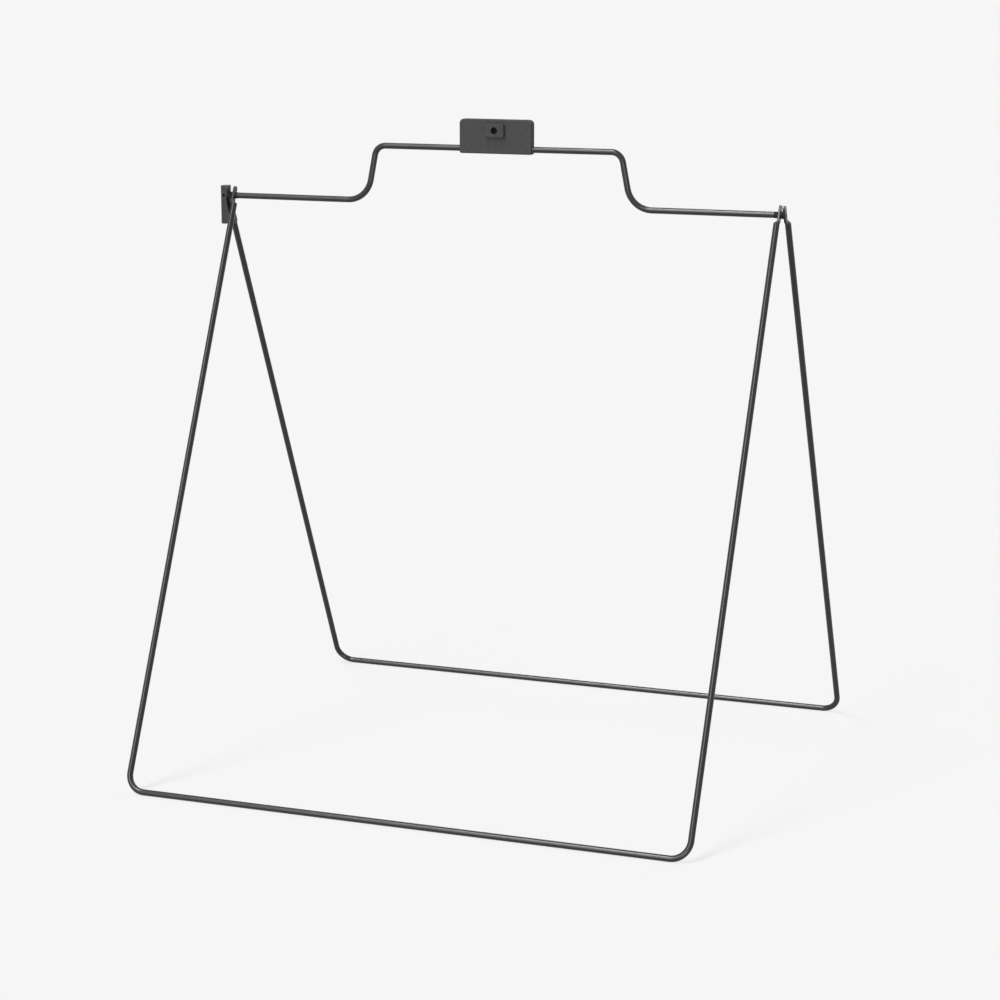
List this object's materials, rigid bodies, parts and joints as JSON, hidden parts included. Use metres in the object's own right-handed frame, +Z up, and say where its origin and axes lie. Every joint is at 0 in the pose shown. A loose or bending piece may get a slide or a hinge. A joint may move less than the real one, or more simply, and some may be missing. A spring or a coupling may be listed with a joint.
{
  "type": "photo album stand",
  "caption": "Folding A-frame stand of bent round bar: wide U-shaped leg frames hinge on a top bar with a raised carrying hump and a clamp block.",
  "frame": {"origin": "on the floor, under the middle of the hinge axis", "axes": "+X along the top bar towards the end without the keeper, +Y towards the rear leg frame, +Z up"},
  "size_m": [0.5133, 0.4528, 0.552],
  "materials": {
    "charcoal_coat": "satin charcoal powder coat on steel bar",
    "clamp_shell": "fine-grained moulded charcoal plastic",
    "black_nylon": "smooth black nylon",
    "black_steel": "blackened steel"
  },
  "bodies": {
    "handle": {"top_bar": "charcoal_coat", "left_hinge_pin": "black_steel", "right_hinge_pin": "black_steel", "left_inner_collar": "black_nylon", "right_inner_collar": "black_nylon", "left_outer_spacer": "black_nylon", "right_outer_spacer": "black_nylon", "clamp_front_shell": "clamp_shell", "clamp_rear_shell": "clamp_shell", "clamp_screw": "black_steel", "clamp_nut": "black_steel", "end_keeper": "charcoal_coat", "keeper_grub_screw": "black_steel"},
    "front_frame": {"front_leg_frame": "charcoal_coat"},
    "rear_frame": {"rear_leg_frame": "charcoal_coat"}
  },
  "joints": [
    {"name": "front_fold", "type": "hinge", "parent": "handle", "child": "front_frame", "pos_m": [0, 0, 0.48029], "axis": [1, 0, 0], "range_deg": [0, 24.8]},
    {"name": "rear_fold", "type": "hinge", "parent": "handle", "child": "rear_frame", "pos_m": [0, 0, 0.48029], "axis": [-1, 0, 0], "range_deg": [0, 24.8]}
  ]
}
